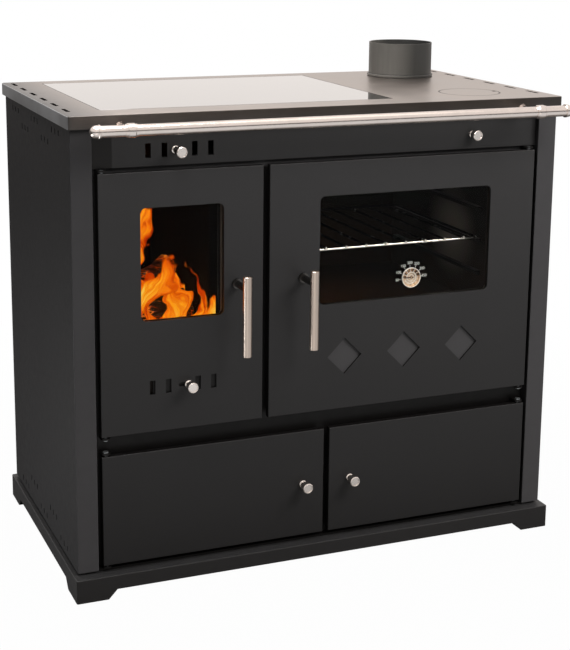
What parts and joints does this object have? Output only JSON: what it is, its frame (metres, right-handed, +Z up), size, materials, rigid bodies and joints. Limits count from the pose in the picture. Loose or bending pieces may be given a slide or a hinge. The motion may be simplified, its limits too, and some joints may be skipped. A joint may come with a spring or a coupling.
{
  "type": "wood cookstove",
  "caption": "Steel-clad wood cookstove with firebox and oven side by side, glazed doors, hob with glass panel and lid, towel rail, flue spigot and low storage doors.",
  "frame": {"origin": "on the floor, half way across the width and half way between the front of the towel rail and the back of the hob", "axes": "+X to the right seen from the front, +Y to the back, +Z up"},
  "size_m": [0.946, 0.6065, 0.92],
  "materials": {
    "anthracite_enamel": "fine matt powder coat",
    "dark_steel": "heat-proof black paint",
    "stainless": "brushed",
    "polished": "polished",
    "zinc": "zinc plated",
    "iron": "as cast",
    "hob_glass": "black glass ceramic, polished",
    "door_glass": "heat-proof, lightly tinted",
    "brick": "dry fired clay",
    "rope": "glass-fibre rope",
    "magnet": "black",
    "dial": "spun, lacquered",
    "needle": "black"
  },
  "bodies": {
    "stove": {"base_plinth": "anthracite_enamel", "body_floor": "dark_steel", "left_side_panel": "anthracite_enamel", "right_side_panel": "anthracite_enamel", "back_panel": "zinc", "back_screws": "zinc", "front_frame": "dark_steel", "fascia_panel": "anthracite_enamel", "hinge_brackets": "dark_steel", "hinge_pins": "zinc", "door_magnets": "magnet", "hob_plate": "stainless", "hob_glass": "hob_glass", "hob_seats": "dark_steel", "flue_collar": "iron", "flue_spigot": "iron", "towel_rail": "polished", "rail_end_caps": "polished", "rail_brackets": "polished", "deck_plate": "dark_steel", "compartment_divider": "dark_steel", "inner_casing": "zinc", "firebox_shell": "dark_steel", "fire_bricks": "brick", "fire_grate": "iron", "oven_box": "zinc", "oven_runners": "polished", "flue_divider": "dark_steel"},
    "fire_door": {"fire_door_panel": "anthracite_enamel", "fire_door_liner": "dark_steel", "fire_door_glass": "door_glass", "fire_glass_retainer": "dark_steel", "fire_retainer_screws": "zinc", "fire_door_gasket": "rope"},
    "fire_door_handle": {"fire_door_handle_bar": "stainless", "fire_door_latch_shaft": "dark_steel"},
    "fire_door_air": {"fire_door_air_slider": "dark_steel", "fire_door_air_knob": "polished"},
    "oven_door": {"oven_door_panel": "anthracite_enamel", "oven_door_diamond_backing": "dark_steel", "oven_door_liner": "dark_steel", "oven_door_glass": "door_glass", "oven_glass_retainer": "dark_steel", "oven_retainer_screws": "zinc", "oven_door_gasket": "rope", "thermometer_dial": "dial"},
    "oven_door_handle": {"oven_door_handle_bar": "stainless", "oven_door_latch_shaft": "dark_steel"},
    "needle": {"thermometer_needle": "needle"},
    "lower_left_door": {"lower_left_door": "anthracite_enamel", "lower_left_knob": "polished"},
    "lower_right_door": {"lower_right_door": "anthracite_enamel", "lower_right_knob": "polished"},
    "fascia_air": {"fascia_air_slider": "dark_steel", "fascia_air_knob": "polished"},
    "bypass_damper": {"bypass_damper": "dark_steel", "bypass_damper_knob": "polished"},
    "hotplate_lid": {"hotplate_lid": "stainless"},
    "ash_pan": {"ash_pan": "dark_steel"},
    "oven_rack": {"oven_rack": "polished"}
  },
  "joints": [
    {"name": "fire_door_hinge", "type": "hinge", "parent": "stove", "child": "fire_door", "pos_m": [-0.411, -0.21075, 0.521], "axis": [0, 0, -1], "range_deg": [0, 110]},
    {"name": "fire_door_handle_turn", "type": "hinge", "parent": "fire_door", "child": "fire_door_handle", "pos_m": [-0.173, -0.21925, 0.5445], "axis": [0, 1, 0], "range_deg": [0, 75]},
    {"name": "fire_door_air_slide", "type": "slide", "parent": "fire_door", "child": "fire_door_air", "axis": [-1, 0, 0], "range_m": [0, 0.014]},
    {"name": "oven_door_hinge", "type": "hinge", "parent": "stove", "child": "oven_door", "pos_m": [0.411, -0.21075, 0.521], "axis": [0, 0, 1], "range_deg": [0, 110]},
    {"name": "oven_door_handle_turn", "type": "hinge", "parent": "oven_door", "child": "oven_door_handle", "pos_m": [-0.0475, -0.21925, 0.5445], "axis": [0, -1, 0], "range_deg": [0, 75]},
    {"name": "thermometer_needle_turn", "type": "hinge", "parent": "oven_door", "child": "needle", "pos_m": [0.16875, -0.21525, 0.526], "axis": [0, 1, 0], "range_deg": [0, 175]},
    {"name": "lower_left_door_hinge", "type": "hinge", "parent": "stove", "child": "lower_left_door", "pos_m": [-0.411, -0.21075, 0.1555], "axis": [0, 0, -1], "range_deg": [0, 110]},
    {"name": "lower_right_door_hinge", "type": "hinge", "parent": "stove", "child": "lower_right_door", "pos_m": [0.411, -0.21075, 0.1555], "axis": [0, 0, 1], "range_deg": [0, 110]},
    {"name": "fascia_air_slide", "type": "slide", "parent": "stove", "child": "fascia_air", "axis": [1, 0, 0], "range_m": [0, 0.014]},
    {"name": "bypass_damper_pull", "type": "slide", "parent": "stove", "child": "bypass_damper", "axis": [0, -1, 0], "range_m": [0, 0.06]},
    {"name": "hotplate_lid_lift", "type": "slide", "parent": "stove", "child": "hotplate_lid", "axis": [0, 0, 1], "range_m": [0, 0.12]},
    {"name": "ash_pan_slide", "type": "slide", "parent": "stove", "child": "ash_pan", "axis": [0, -1, 0], "range_m": [0, 0.12]},
    {"name": "oven_rack_slide", "type": "slide", "parent": "stove", "child": "oven_rack", "axis": [0, -1, 0], "range_m": [0, 0.231]}
  ],
  "couplings": [
    {"joint": "ash_pan_slide", "follows": "fire_door_hinge", "m_per_rad": 0.0625},
    {"joint": "oven_rack_slide", "follows": "oven_door_hinge", "m_per_rad": 0.12}
  ]
}
